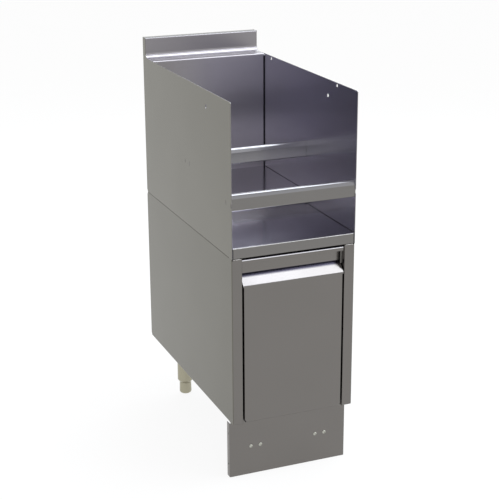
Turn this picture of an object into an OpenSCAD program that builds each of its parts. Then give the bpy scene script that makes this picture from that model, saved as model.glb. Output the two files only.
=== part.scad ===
// Narrow underbar unit: an open stepped bottle bay with a back splash, on a cabinet with one deep drawer.
// The front faces -Y, the width runs along X, and the origin is on the floor under the middle.
// Sections are drawn with depth counted from the front face, then moved back by half the depth.

/* [Overall] */
// Width across the outer faces of the sides
body_w = 304.8; // [290:0.1:380]
// Depth from the front face to the back
body_d = 609.6; // [600:0.1:680]
// Height of the cabinet's underside above the floor
leg_h = 152.4; // [145:0.1:180]
// Height of the cabinet
cabinet_h = 406.4; // [400:0.1:450]
// Height of the bay's sides above the cabinet
bay_h = 355.6; // [320:0.1:420]
// Rise of the back splash above the bay's sides
splash_h = 50.8; // [40:0.1:110]

/* [Sheet metal] */
// Thickness of the stainless sheet
sheet = 1.2; // [1:0.05:1.5]
// Inside radius of an ordinary bend
bend_r = 1.8; // [1.2:0.1:2.2]
// Inside radius of the tight bends along the seam
tight_r = 0.4; // [0.3:0.05:0.8]
// Flats in the outline of one bend
bend_steps = 5; // [3:1:8]
// Width of the flanges that stiffen hidden edges
flange_w = 18; // [14:0.5:22]
// Width of the flange at the back edge of each side
rear_flange_w = 25.4; // [20:0.1:30]
// Gap left between neighbouring edges so that they can be fitted
fit = 0.25; // [0.15:0.05:0.3]

/* [Open bay] */
// Height of the shelf's front lip
lip_h = 25.4; // [20:0.1:32]
// Depth of the pipe space behind the back panel
chase_d = 76.2; // [65:0.1:95]
// Thickness of the splash at its top
splash_d = 22.2; // [19:0.1:28]
// Radius of the cove between ledge and splash
cove_r = 12.7; // [8:0.1:18]
// Length of the hem behind the splash
hem_h = 12.7; // [10:0.1:18]
// Rise of the rear step above the shelf
step_h = 31.8; // [25:0.1:40]
// Distance from the front to the rear step
step_y = 266.7; // [250:0.1:285]
// Size of the nip on the sides' front top corners
corner_nip = 2.5; // [1.5:0.1:4]
// Diameter of the hole that joins two units side by side
join_d = 8.5; // [8:0.1:11]
// Place of that hole back from the front
join_y = 152.4; // [140:0.1:165]
// Place of that hole down from the top edge
join_drop = 38.1; // [30:0.1:50]
// Diameter of the two small holes near the right side's top edge
hook_d = 7.5; // [4:0.1:8]
// Place of the small holes back from the front
hook_ys = [104.8, 487.4];
// Place of the small holes down from the top edge
hook_drop = 6.4; // [5.5:0.1:8]

/* [Bottle rails] */
// Depth of a rail from front to back
rail_d = 31.2; // [29:0.1:36]
// Height of a rail's upright walls
rail_wall_h = 28; // [24:0.1:34]
// Height above the walls at which a rail's two upper faces would meet
rail_ridge_h = 12.7; // [11:0.1:14]
// Distance of that ridge behind the rail's front
rail_ridge_y = 5.9; // [5:0.1:8]
// Width of the lips folded under a rail
rail_lip_w = 7; // [6:0.1:9]
// Distance of each rail's front from the edge of its shelf
rail_setback = 2.4; // [2:0.1:4]
// Height of each rail's underside above its shelf
rail_lift = 85.3; // [75:0.1:95]
// Height of the tabs at a rail's ends
tab_h = 8; // [6:0.1:10]
// Play round a tab in its slot
tab_play = 0.9; // [0.5:0.1:1.2]

/* [Cabinet] */
// Width of the stiles beside the drawer
stile_w = 25.4; // [22:0.1:27]
// Depth of the stiles' returns
stile_return = 17.6; // [16.5:0.1:19]
// Width of the narrow rebate behind the returns
rebate_w = 3.2; // [2.8:0.1:3.6]
// Height of the upturned edges of the bottom
pan_h = 12; // [10:0.1:14]
// Distance of the front header back from the stiles' faces
header_y = 5; // [3.5:0.1:6]
// Drop from the cabinet's top to the front header
header_drop = 5.3; // [4:0.1:7]
// Height of the front header's face
header_h = 10; // [8:0.1:14]
// Width of the flange behind the front header
header_flange = 8; // [7:0.1:10]
// Depth of the rear header
tie_d = 36; // [30:1:45]
// Height of the rear header's edges
tie_h = 9; // [7.5:0.1:9.5]

/* [Drawer front] */
// Gap between the drawer front and each stile
front_gap = 3.5; // [2.5:0.1:3.8]
// Gap between the drawer front and the cabinet's underside
front_low_gap = 1.6; // [1:0.1:3]
// Thickness of the drawer front
front_t = 16; // [14.5:0.1:16.4]
// Drop from the cabinet's top to the front edge of the pull
pull_drop = 66.8; // [60:0.1:75]
// Depth of the finger recess
recess_d = 22.2; // [21:0.1:28]
// Rise of the sloping pull across the recess
pull_rise = 23.4; // [18:0.1:26]
// Length of the pull's ends beyond the sides of the drawer front
pull_over = 1.5; // [0.8:0.1:2]
// Gap between the upright lip of the pull and the front header above it
lip_gap = 2.5; // [1.5:0.1:4]
// Width of the edge folded back at the top of that lip
lip_fold = 10; // [8:0.1:12]

/* [Drawer box and slides] */
// Length of the slides
slide_l = 508; // [480:1:520]
// Height of a slide
slide_h = 42.7; // [40:0.1:48]
// Width taken by one slide
slide_t = 12.7; // [12.5:0.1:14]
// Thickness of the slide members
gauge = 1.2; // [1:0.05:1.3]
// Radius of the bearing balls
ball_r = 1.85; // [1.7:0.05:1.9]
// Balls in each row of a cage
balls = 5; // [4:1:6]
// Height of the slides' middle above the cabinet's underside
slide_lift = 150; // [130:1:180]
// Distance from the front to the slides
slide_y = 24; // [22:0.1:27]
// Height of the drawer box's floor above the cabinet's underside
box_lift = 20; // [18:0.1:26]
// Height of the drawer box's walls
box_h = 300; // [280:1:320]
// Width of the rims folded out round the drawer box
box_rim = 8; // [6:0.1:9]

/* [Legs and feet] */
// Distance of each leg's axis in from the side
leg_in = 68.8; // [62:0.1:76]
// Distance of each leg's axis in from the front and from the back
leg_back = 76.2; // [72:0.1:85]
// Diameter of the leg tubes
leg_d = 41.3; // [38:0.1:43]
// Wall of the leg tubes
leg_wall = 1.6; // [1.2:0.1:2]
// Diameter of a foot at its base
foot_d = 32.4; // [30:0.1:34]
// Diameter of a foot at its top
foot_top_d = 31; // [29:0.1:32]
// Height of a foot's body
foot_h = 32.7; // [30:0.1:38]
// Diameter of the foot's stem
stem_d = 12; // [10:0.1:14]
// Length of the foot's stem
stem_l = 62; // [55:1:70]
// Height of the taper at the leg's lower end
taper_h = 7; // [5:0.1:9]
// Height of the leg socket's collar
collar_h = 30; // [25:0.1:34]
// Thickness of the leg socket's walls
socket_t = 3; // [2.5:0.1:3.4]
// Width of the leg socket's plate
socket_w = 76; // [72:0.1:84]

/* [Kick plate] */
// Distance of the kick plate back from the front
kick_y = 30.5; // [27:0.1:33]
// Distance of the kick plate's ends in from the sides
kick_in = 2.1; // [1:0.1:4]
// Gap between the kick plate and the floor
kick_low = 2.5; // [1.5:0.1:6]
// Gap between the kick plate and the cabinet
kick_high = 3.4; // [2:0.1:6]
// Depth of the kick plate's returns
kick_return = 16; // [13:0.1:19]
// Height of the clip bolts above the floor
kick_bolt_z = 75; // [65:0.1:85]
// Distance between a clip's two bolts
kick_bolt_gap = 24; // [22:0.1:26]
// Height of a clip
clip_h = 30; // [24:0.1:34]
// Thickness of a clip
clip_t = 1.5; // [1.2:0.1:1.8]

/* [Fasteners] */
// Diameter of the bolts in the legs and the kick plate
bolt_d = 6; // [5:0.1:6.5]
// Diameter of the bolt heads
bolt_head_d = 10; // [9:0.1:11]
// Height of the bolt heads
bolt_head_h = 3.3; // [2.5:0.1:4]
// Diameter of the sheet-metal screws
screw_d = 4; // [3:0.1:4.5]
// Diameter of the screw heads
screw_head_d = 7.6; // [6.5:0.1:8.4]
// Height of the screw heads
screw_head_h = 2.2; // [1.6:0.1:2.6]

/* [Hidden] */
$fn = 48;

// Colours as the photograph shows them
side_steel = [0.54, 0.53, 0.51];
front_steel = [0.47, 0.46, 0.45];
inner_steel = [0.40, 0.40, 0.44];
slide_steel = [0.70, 0.70, 0.72];
leg_steel = [0.65, 0.63, 0.57];
rubber_black = [0.09, 0.09, 0.09];

// Heights above the floor
seam_z = leg_h + cabinet_h;
shelf_z = seam_z + lip_h;
step_z = shelf_z + step_h;
bay_top_z = seam_z + bay_h;
splash_top_z = bay_top_z + splash_h;

// Half widths, and depths counted from the front
half_w = body_w / 2;
inner_w = half_w - sheet;
back_y = body_d - chase_d;
splash_y = body_d - splash_d;

// Bends: the middle line's radius, the outer radius, and the height that a folded edge needs
bend_mid = bend_r + sheet / 2;
tight_mid = tight_r + sheet / 2;
corner_r = bend_r + sheet;
fold_h = 2 * corner_r;
overrun = 1;

// The shelf's underside return, and where the sides' bottom flanges start behind it
lip_return = 12.7;
bay_flange_y = lip_return + corner_r;
bay_flange_top = splash_top_z - hem_h - corner_r;

// Rails: one stands at the front of the shelf, one at the front of the rear step
lower_rail_at = [rail_setback, shelf_z + rail_lift];
upper_rail_at = [step_y + rail_setback, step_z + rail_lift];
tab_rise = (rail_wall_h - tab_h) / 2;

// Cabinet
stile_x = half_w - stile_w;
rebate_x = stile_x - rebate_w;
pan_z = leg_h + sheet;
pan_front = stile_return + sheet + fit;
pan_back = body_d - 2 * sheet;
tie_half = inner_w - corner_r;
header_top_z = seam_z - header_drop;
header_low_z = header_top_z - header_h;
tie_y = back_y - tie_d;

// Drawer front
front_half = stile_x - front_gap;
front_low_z = leg_h + front_low_gap;
pull_z = seam_z - pull_drop;
pull_back_z = pull_z + pull_rise;
pull_half = front_half + pull_over;
lip_half = rebate_x - sheet - fit;
lip_top_z = header_low_z - lip_gap;
front_return = front_t - sheet;

// Slides stand on brackets that reach just inside the rebate
bracket_x = rebate_x - sheet - 2 * fit;
bracket_half_h = slide_h / 2 + fold_h + corner_r;
slide_z = leg_h + slide_lift;
bracket_l = slide_l + fold_h;
race_r = ball_r + 0.3 * ball_r / 1.85;
race_out = race_r + gauge;
outer_ball = [race_out, slide_h / 2 - race_out];
ball_step = (race_r + race_out) / sqrt(2);
inner_ball = outer_ball + [ball_step, -ball_step];
web_u = outer_ball[0] - gauge / 2;
cage_t = (web_u - gauge) * 0.58;
cage_gap = (web_u - gauge - cage_t) / 2;
ball_pitch = 14 * ball_r;
cage_l = (balls - 1) * ball_pitch + 8 * ball_r;
cage_y = slide_y + slide_l / 2 - cage_l / 2;

// Drawer box
box_half = bracket_x - slide_t;
box_low_z = leg_h + box_lift;
box_top_z = box_low_z + box_h;
box_back = slide_y + slide_l;

// Legs
socket_z = pan_z - socket_t;
leg_x = half_w - leg_in;
leg_front_y = leg_back;
leg_rear_y = body_d - leg_back;
front_left = [-leg_x, leg_front_y];
front_right = [leg_x, leg_front_y];
rear_left = [-leg_x, leg_rear_y];
rear_right = [leg_x, leg_rear_y];
corners = [front_left, front_right, rear_left, rear_right];
insert_z = foot_h + 0.3 * fit / 0.25;
tube_z = insert_z + taper_h;
plug_h = 5 * taper_h;
running = 0.1 * fit / 0.25;
socket_bolt_at = socket_w / 2 - bolt_head_d;

// Kick plate
kick_half = half_w - kick_in;
kick_top_z = leg_h - kick_high;
clip_r = leg_d / 2 + running;
clip_web_x = clip_r - clip_t;

// Sections of folded sheet

// Unit direction from one point to another
function direction(a, b) = (b - a) / norm(b - a);

// A direction turned a quarter to its left
function left_of(v) = [-v[1], v[0]];

// A direction turned by an angle
function turned(v, a) = [v[0] * cos(a) - v[1] * sin(a), v[0] * sin(a) + v[1] * cos(a)];

// Signed turn from one direction to the next
function turn(u, v) = atan2(u[0] * v[1] - u[1] * v[0], u[0] * v[0] + u[1] * v[1]);

// Radius of one bend, from one value for all or a list with one for each
function bend_at(radii, i) = is_list(radii) ? radii[i - 1] : radii;

// One side of a bend in a sheet whose middle line turns at point i of a path
function bend_points(path, radii, off, i) =
    let (
        u = direction(path[i - 1], path[i]),
        a = turn(u, direction(path[i], path[i + 1])),
        s = sign(a),
        r = bend_at(radii, i),
        centre = path[i] - u * r * tan(abs(a) / 2) + left_of(u) * s * r
    )
    [for (k = [0:bend_steps]) centre - turned(left_of(u), a * k / bend_steps) * s * (r - s * off)];

// One side of a whole folded sheet
function side_points(path, radii, off) =
    let (n = len(path) - 1)
    concat(
        [path[0] + left_of(direction(path[0], path[1])) * off],
        [for (i = [1:n - 1]) each bend_points(path, radii, off, i)],
        [path[n] + left_of(direction(path[n - 1], path[n])) * off]
    );

// Points along an arc
function arc_points(centre, r, from, to) =
    [for (k = [0:2 * bend_steps])
        let (a = from + (to - from) * k / (2 * bend_steps)) centre + r * [cos(a), sin(a)]];

// Section of a sheet folded along a path of its middle line
module folded(path, radii = bend_mid, t = sheet) {
    far_side = side_points(path, radii, -t / 2);
    polygon(concat(side_points(path, radii, t / 2), [for (i = [len(far_side) - 1:-1:0]) far_side[i]]));
}

// A section of depth and height, carried across the width
module span(from, to) {
    translate([from, 0, 0]) rotate([90, 0, 90]) linear_extrude(to - from) children();
}

// A section of width and height, carried along the depth
module along(from, to) {
    translate([0, to, 0]) rotate([90, 0, 0]) linear_extrude(to - from) children();
}

// A plan of width and depth, carried upwards
module rise(from, to) {
    translate([0, 0, from]) linear_extrude(to - from) children();
}

// A plain block between two corners
module block(low, high) {
    translate(low) cube(high - low);
}

// Depths counted from the front become places about the middle
module from_front() {
    translate([0, -body_d / 2, 0]) children();
}

// A plate with rounded corners
module rounded(w, d, r) {
    square([w - 2 * r, d], center = true);
    square([w, d - 2 * r], center = true);
    for (x = [-1, 1], y = [-1, 1]) translate([x * (w / 2 - r), y * (d / 2 - r)]) circle(r);
}

// A hexagon of a given width across its flats
module hexagon(across_flats) {
    circle(d = across_flats / cos(30), $fn = 6);
}

// The open bay

// A side's outline, cut for the rails' tabs and drilled
module bay_side_outline(hooks) {
    difference() {
        polygon(concat(
            [[bay_flange_y, seam_z], [0, seam_z], [0, bay_top_z - corner_nip], [corner_nip, bay_top_z]],
            arc_points([splash_y - cove_r, bay_top_z + cove_r], cove_r, -90, 0),
            [[splash_y, splash_top_z], [body_d, splash_top_z], [body_d, seam_z + fold_h]],
            [[bay_flange_y, seam_z + fold_h]]
        ));
        for (at = [lower_rail_at, upper_rail_at], leg = [0, rail_d - sheet])
            translate([at[0] + leg - tab_play, at[1] + tab_rise - tab_play / 2])
                square([sheet + 2 * tab_play, tab_h + tab_play]);
        translate([-overrun, lower_rail_at[1] + tab_rise - tab_play / 2])
            square([lower_rail_at[0] + overrun, tab_h + tab_play]);
        for (y = hooks) translate([y, bay_top_z - hook_drop]) circle(d = hook_d);
        translate([join_y, bay_top_z - join_drop]) circle(d = join_d);
    }
}

module bay_left_side() {
    bay_side([]);
}

// The same side with the hook holes it is given
module bay_side(hooks) {
    from_front() color(side_steel) {
        difference() {
            intersection() {
                rise(seam_z, splash_top_z) folded([
                    [-half_w + rear_flange_w, body_d - sheet / 2],
                    [-half_w + sheet / 2, body_d - sheet / 2],
                    [-half_w + sheet / 2, 0]
                ]);
                span(-half_w, -half_w + rear_flange_w) bay_side_outline(hooks);
            }
            block(
                [-inner_w, body_d - fold_h, bay_flange_top],
                [-half_w + rear_flange_w + overrun, body_d + overrun, splash_top_z + overrun]
            );
        }
        difference() {
            along(bay_flange_y, body_d - fold_h) folded([
                [-half_w + sheet / 2, seam_z + 2 * fold_h],
                [-half_w + sheet / 2, seam_z + sheet / 2],
                [-half_w + flange_w, seam_z + sheet / 2]
            ], tight_mid);
            at_seam_screws() screw_hole();
        }
    }
}

module bay_right_side() {
    mirror([1, 0, 0]) bay_side(hook_ys);
}

// Back panel, ledge, cove and splash folded from one sheet
module back_splash() {
    foot_w = flange_w;
    from_front() color(inner_steel) {
        rise(shelf_z + fold_h, bay_top_z - fold_h) folded([
            [-inner_w + sheet / 2, back_y + rear_flange_w],
            [-inner_w + sheet / 2, back_y + sheet / 2],
            [inner_w - sheet / 2, back_y + sheet / 2],
            [inner_w - sheet / 2, back_y + rear_flange_w]
        ]);
        difference() {
            span(-inner_w, inner_w) folded([
                [back_y + sheet / 2, bay_top_z - 2 * fold_h],
                [back_y + sheet / 2, bay_top_z - sheet / 2],
                [splash_y + sheet / 2, bay_top_z - sheet / 2],
                [splash_y + sheet / 2, splash_top_z - sheet / 2],
                [body_d - sheet / 2, splash_top_z - sheet / 2],
                [body_d - sheet / 2, splash_top_z - hem_h]
            ], [bend_mid, cove_r + sheet / 2, bend_mid, bend_mid]);
            for (side = [-1, 1])
                translate([side * inner_w, back_y, bay_top_z - sheet - 2 * fold_h])
                    cube([2 * corner_r, 2 * corner_r, 4 * fold_h - 2 * sheet], center = true);
        }
        difference() {
            span(-inner_w + corner_r, inner_w - corner_r) folded([
                [back_y + sheet / 2, shelf_z + 2 * fold_h],
                [back_y + sheet / 2, shelf_z + sheet / 2],
                [back_y + foot_w, shelf_z + sheet / 2]
            ]);
            at_chase_rivets() screw_hole();
        }
    }
}

// Floor of the bay, with its front lip
module shelf() {
    side_y = bay_flange_y;
    from_front() color(inner_steel) {
        difference() {
            span(-inner_w, inner_w) folded([
                [lip_return, seam_z + sheet / 2],
                [sheet / 2, seam_z + sheet / 2],
                [sheet / 2, shelf_z - sheet / 2],
                [body_d - 3 * sheet / 2, shelf_z - sheet / 2],
                [body_d - 3 * sheet / 2, shelf_z - flange_w]
            ]);
            for (side = [-1, 1])
                translate([side * inner_w, body_d - sheet, shelf_z - flange_w / 2])
                    cube([2 * corner_r, fold_h, flange_w + 2 * overrun], center = true);
            for (side = [0, 1]) mirror([side, 0, 0])
                block(
                    [-inner_w - overrun, side_y, shelf_z - fold_h],
                    [-inner_w + corner_r, back_y, shelf_z + overrun]
                );
            at_chase_rivets() screw_hole();
        }
        for (side = [0, 1]) mirror([side, 0, 0])
            along(side_y, back_y) folded([
                [-inner_w + sheet / 2, shelf_z - lip_return],
                [-inner_w + sheet / 2, shelf_z - sheet / 2],
                [-inner_w + fold_h, shelf_z - sheet / 2]
            ]);
    }
}

// Raised step at the back of the shelf
module rear_step() {
    half = inner_w - fit;
    side_y = step_y + lip_return + corner_r;
    from_front() color(inner_steel) {
        difference() {
            span(-half, half) folded([
                [step_y + lip_return, shelf_z + sheet / 2],
                [step_y + sheet / 2, shelf_z + sheet / 2],
                [step_y + sheet / 2, step_z - sheet / 2],
                [back_y - sheet / 2 - fit, step_z - sheet / 2],
                [back_y - sheet / 2 - fit, shelf_z]
            ]);
            for (side = [0, 1]) mirror([side, 0, 0])
                block(
                    [-half - overrun, side_y, step_z - fold_h],
                    [-half + corner_r, back_y - fold_h, step_z + overrun]
                );
        }
        for (side = [0, 1]) mirror([side, 0, 0])
            along(side_y, back_y - fold_h) folded([
                [-half + sheet / 2, shelf_z],
                [-half + sheet / 2, step_z - sheet / 2],
                [-half + fold_h, step_z - sheet / 2]
            ]);
    }
}

// A bottle rail: two walls under a rounded ridge, with tabs that pass through the sides
module bottle_rail(at) {
    half = inner_w - fit;
    wall_z = at[1] + rail_wall_h;
    from_front() color(front_steel) {
        span(-half, half) folded([
            [at[0] + rail_lip_w, at[1] + sheet / 2],
            [at[0] + sheet / 2, at[1] + sheet / 2],
            [at[0] + sheet / 2, wall_z],
            [at[0] + rail_ridge_y, wall_z + rail_ridge_h],
            [at[0] + rail_d - sheet / 2, wall_z],
            [at[0] + rail_d - sheet / 2, at[1] + sheet / 2],
            [at[0] + rail_d - rail_lip_w, at[1] + sheet / 2]
        ], [bend_mid, tight_mid, 3 * bend_mid, tight_mid, bend_mid]);
        for (side = [0, 1], leg = [0, rail_d - sheet]) mirror([side, 0, 0])
            block(
                [-half_w, at[0] + leg, at[1] + tab_rise],
                [-half + corner_r, at[0] + leg + sheet, at[1] + tab_rise + tab_h]
            );
    }
}

module lower_rail() {
    bottle_rail(lower_rail_at);
}

module upper_rail() {
    bottle_rail(upper_rail_at);
}

// The cabinet

// The edge of a side and of its stile, folded in at the top or at the bottom
module cabinet_edge(z, inward) {
    along(stile_return + fold_h, body_d - fold_h) folded([
        [-half_w + sheet / 2, z + inward * 2 * fold_h],
        [-half_w + sheet / 2, z + inward * sheet / 2],
        [-half_w + flange_w, z + inward * sheet / 2]
    ], tight_mid);
    span(-half_w + corner_r, -stile_x - corner_r) folded([
        [sheet / 2, z + inward * 2 * fold_h],
        [sheet / 2, z + inward * sheet / 2],
        [stile_return - fit, z + inward * sheet / 2]
    ]);
}

// A side folded on into its stile, return and rebate
module cabinet_left_side() {
    from_front() color(side_steel) {
        difference() {
            rise(leg_h, seam_z) folded([
                [-half_w + rear_flange_w, body_d - sheet / 2],
                [-half_w + sheet / 2, body_d - sheet / 2],
                [-half_w + sheet / 2, sheet / 2],
                [-stile_x - sheet / 2, sheet / 2],
                [-stile_x - sheet / 2, stile_return + sheet / 2],
                [-rebate_x, stile_return + sheet / 2]
            ]);
            for (z = [leg_h, seam_z]) {
                block(
                    [-half_w - overrun, stile_return + fold_h, z - fold_h],
                    [-half_w + fold_h, body_d + overrun, z + fold_h]
                );
                block([-half_w + corner_r, -overrun, z - fold_h], [-stile_x - corner_r, fold_h, z + fold_h]);
                block(
                    [-half_w - overrun, -overrun, z - corner_r],
                    [-half_w + corner_r, corner_r, z + corner_r]
                );
            }
        }
        cabinet_edge(leg_h, 1);
        difference() {
            cabinet_edge(seam_z, -1);
            at_seam_screws() screw_hole();
        }
    }
}

module cabinet_right_side() {
    mirror([1, 0, 0]) cabinet_left_side();
}

module cabinet_back() {
    half = inner_w - corner_r;
    from_front() color(inner_steel)
        span(-half, half) folded([
            [body_d - 3 * sheet / 2, pan_z],
            [body_d - 3 * sheet / 2, seam_z - 3 * sheet / 2],
            [body_d - flange_w, seam_z - 3 * sheet / 2]
        ]);
}

// Bottom with all four edges turned up
module cabinet_bottom() {
    half = inner_w - corner_r;
    from_front() color(inner_steel) difference() {
        union() {
            along(pan_front + fold_h, pan_back - fold_h) folded([
                [-inner_w + sheet / 2, pan_z + pan_h],
                [-inner_w + sheet / 2, pan_z + sheet / 2],
                [inner_w - sheet / 2, pan_z + sheet / 2],
                [inner_w - sheet / 2, pan_z + pan_h]
            ]);
            span(-half, half) folded([
                [pan_front + sheet / 2, pan_z + pan_h],
                [pan_front + sheet / 2, pan_z + sheet / 2],
                [pan_front + 2 * fold_h, pan_z + sheet / 2]
            ]);
            span(-half, half) folded([
                [pan_back - sheet / 2, pan_z + pan_h],
                [pan_back - sheet / 2, pan_z + sheet / 2],
                [pan_back - 2 * fold_h, pan_z + sheet / 2]
            ]);
        }
        for (at = corners, x = [-1, 1], y = [-1, 1])
            translate([at[0] + x * socket_bolt_at, at[1] + y * socket_bolt_at, pan_z - overrun])
                cylinder(d = bolt_d + 2 * fit, h = sheet + 2 * overrun);
    }
}

// A narrow rail between the stiles, over the drawer front
module front_header() {
    half = stile_x - fit;
    from_front() color(front_steel)
        span(-half, half) folded([
            [header_y + sheet / 2, header_low_z],
            [header_y + sheet / 2, header_top_z - sheet / 2],
            [header_y + header_flange, header_top_z - sheet / 2]
        ]);
}

// A shallow channel under the top flanges at the back
module rear_header() {
    from_front() color(inner_steel)
        span(-tie_half, tie_half) folded([
            [tie_y + sheet / 2, seam_z - sheet - tie_h],
            [tie_y + sheet / 2, seam_z - 3 * sheet / 2],
            [tie_y + tie_d - sheet / 2, seam_z - 3 * sheet / 2],
            [tie_y + tie_d - sheet / 2, seam_z - sheet - tie_h]
        ]);
}

// A hat channel that brings the slide in to the edge of the opening
module left_slide_bracket() {
    from_front() color(inner_steel) difference() {
        along(slide_y, slide_y + bracket_l) folded([
            [-inner_w + sheet / 2, slide_z + bracket_half_h + flange_w],
            [-inner_w + sheet / 2, slide_z + bracket_half_h],
            [-bracket_x - sheet / 2, slide_z + bracket_half_h],
            [-bracket_x - sheet / 2, slide_z - bracket_half_h],
            [-inner_w + sheet / 2, slide_z - bracket_half_h],
            [-inner_w + sheet / 2, slide_z - bracket_half_h - flange_w]
        ]);
        at_bracket_screws() screw_hole();
    }
}

module right_slide_bracket() {
    mirror([1, 0, 0]) left_slide_bracket();
}

// Telescopic slides. Their sections are drawn out from the bracket, with height counted from the middle.

// Part of a ball race, as a ring between two angles
module race(ball, from, to) {
    reach = 2 * race_out;
    translate(ball) intersection() {
        difference() {
            circle(race_out);
            circle(race_r);
        }
        polygon(concat(
            [[0, 0]],
            [for (k = [0:8]) let (a = from + (to - from) * k / 8) reach * [cos(a), sin(a)]]
        ));
    }
}

// The same form above and below the middle
module both_ways() {
    children();
    mirror([0, 1]) children();
}

// The channel screwed to the bracket, with its races rolled over the balls
module outer_member_section() {
    translate([0, -outer_ball[1]]) square([gauge, 2 * outer_ball[1]]);
    both_ways() race(outer_ball, -4, 184);
}

// The member between, rolled under the outer balls and over the inner ones
module middle_member_section() {
    web_half = outer_ball[1] - race_r - gauge / 2;
    translate([web_u, -web_half]) square([gauge, 2 * web_half]);
    both_ways() {
        race(outer_ball, 262, 318);
        race(inner_ball, -20, 138);
    }
}

// The member screwed to the drawer box
module inner_member_section() {
    floor_v = inner_ball[1] - race_out;
    translate([slide_t - gauge, -floor_v]) square([gauge, 2 * floor_v + gauge]);
    both_ways() {
        translate([inner_ball[0], floor_v]) square([slide_t - inner_ball[0], gauge]);
        race(inner_ball, 235, 274);
    }
}

// Moves a left slide's section or piece to its place
module at_left_slide() {
    translate([-bracket_x, 0, slide_z]) children();
}

module left_outer_member() {
    from_front() color(slide_steel) difference() {
        at_left_slide() along(slide_y, slide_y + slide_l) outer_member_section();
        at_bracket_screws() screw_hole();
    }
}

module right_outer_member() {
    mirror([1, 0, 0]) left_outer_member();
}

module left_middle_member() {
    from_front() color(slide_steel) at_left_slide() along(slide_y, slide_y + slide_l) middle_member_section();
}

module right_middle_member() {
    mirror([1, 0, 0]) left_middle_member();
}

module left_inner_member() {
    from_front() color(slide_steel) difference() {
        at_left_slide() along(slide_y, slide_y + slide_l) inner_member_section();
        at_box_screws() screw_hole();
    }
}

module right_inner_member() {
    mirror([1, 0, 0]) left_inner_member();
}

// Places of a cage's balls along the slide
ball_ys = [for (k = [0:balls - 1]) cage_y + cage_l / 2 + (k - (balls - 1) / 2) * ball_pitch];

// The rows of balls of one cage
module ball_rows(ball) {
    for (y = ball_ys, v = [-1, 1]) translate([ball[0], y, v * ball[1]]) sphere(ball_r);
}

// Gaps in a cage's edges that hold the balls apart
module ball_gaps(ball) {
    gap = ball_r * 1.1;
    for (y = ball_ys, v = [-1, 1])
        translate([ball[0], y, v * ball[1]]) cube([4 * ball_r, 2 * gap, 2 * ball_r * 1.12], center = true);
}

// A strip between the outer and the middle member
module left_outer_cage() {
    half = outer_ball[1] - ball_r * 0.43;
    from_front() color(slide_steel) at_left_slide() difference() {
        along(cage_y, cage_y + cage_l)
            translate([gauge + cage_gap, -half]) square([cage_t, 2 * half]);
        ball_gaps(outer_ball);
    }
}

module right_outer_cage() {
    mirror([1, 0, 0]) left_outer_cage();
}

// A strip between the middle and the inner member, with fingers beside the balls
module left_inner_cage() {
    left_u = web_u + gauge + cage_gap;
    right_u = left_u + cage_t * 0.85;
    finger_u = inner_ball[0] - ball_r * 0.45;
    half = inner_ball[1] - ball_r * 0.06;
    finger_low = inner_ball[1] - ball_r * 0.82;
    from_front() color(slide_steel) at_left_slide() difference() {
        along(cage_y, cage_y + cage_l) polygon([
            [left_u, -half],
            [finger_u, -half],
            [finger_u, -finger_low],
            [right_u, -finger_low],
            [right_u, finger_low],
            [finger_u, finger_low],
            [finger_u, half],
            [left_u, half]
        ]);
        ball_gaps(inner_ball);
    }
}

module right_inner_cage() {
    mirror([1, 0, 0]) left_inner_cage();
}

module left_outer_balls() {
    from_front() color(slide_steel) at_left_slide() ball_rows(outer_ball);
}

module right_outer_balls() {
    mirror([1, 0, 0]) left_outer_balls();
}

module left_inner_balls() {
    from_front() color(slide_steel) at_left_slide() ball_rows(inner_ball);
}

module right_inner_balls() {
    mirror([1, 0, 0]) left_inner_balls();
}

// The drawer

// Outer skin with the sloping pull and the upright lip behind it
module drawer_front() {
    face_top = pull_z - corner_r;
    pull_path = [
        [sheet / 2, pull_z - 2 * fold_h],
        [sheet / 2, pull_z],
        [recess_d + sheet / 2, pull_back_z],
        [recess_d + sheet / 2, lip_top_z - sheet / 2],
        [recess_d + lip_fold, lip_top_z - sheet / 2]
    ];
    low_path = [
        [sheet / 2, front_low_z + 2 * fold_h],
        [sheet / 2, front_low_z + sheet / 2],
        [front_return, front_low_z + sheet / 2]
    ];
    slope = pull_rise / recess_d;
    from_front() color(front_steel) {
        rise(front_low_z + fold_h, face_top) folded([
            [-front_half + sheet / 2, front_return],
            [-front_half + sheet / 2, sheet / 2],
            [front_half - sheet / 2, sheet / 2],
            [front_half - sheet / 2, front_return]
        ]);
        span(-front_half + corner_r, front_half - corner_r) folded(low_path);
        difference() {
            span(-pull_half, pull_half) folded(pull_path);
            for (side = [0, 1]) mirror([side, 0, 0]) {
                block([-pull_half - overrun, front_t, pull_z], [-lip_half, recess_d + 2 * lip_fold, seam_z]);
                block(
                    [-pull_half - overrun, -overrun, pull_z - 3 * fold_h],
                    [-front_half + corner_r, corner_r, face_top]
                );
            }
        }
        for (side = [0, 1]) mirror([side, 0, 0]) span(-front_half, -front_half + sheet) polygon([
            [corner_r, face_top - corner_r],
            [front_return, face_top - corner_r],
            [front_return, pull_z + slope * front_return - sheet / 2],
            [corner_r / 2, pull_z - sheet / 2],
            [sheet / 2, face_top]
        ]);
    }
}

// Inner pan that closes the back of the drawer front
module drawer_liner() {
    half = front_half - sheet - fit;
    low = front_low_z + sheet + fit;
    high = pull_z - 2 * corner_r;
    from_front() color(inner_steel) difference() {
        drawer_liner_pan(half, low, high);
        at_drawer_screws() screw_hole();
    }
}

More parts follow.
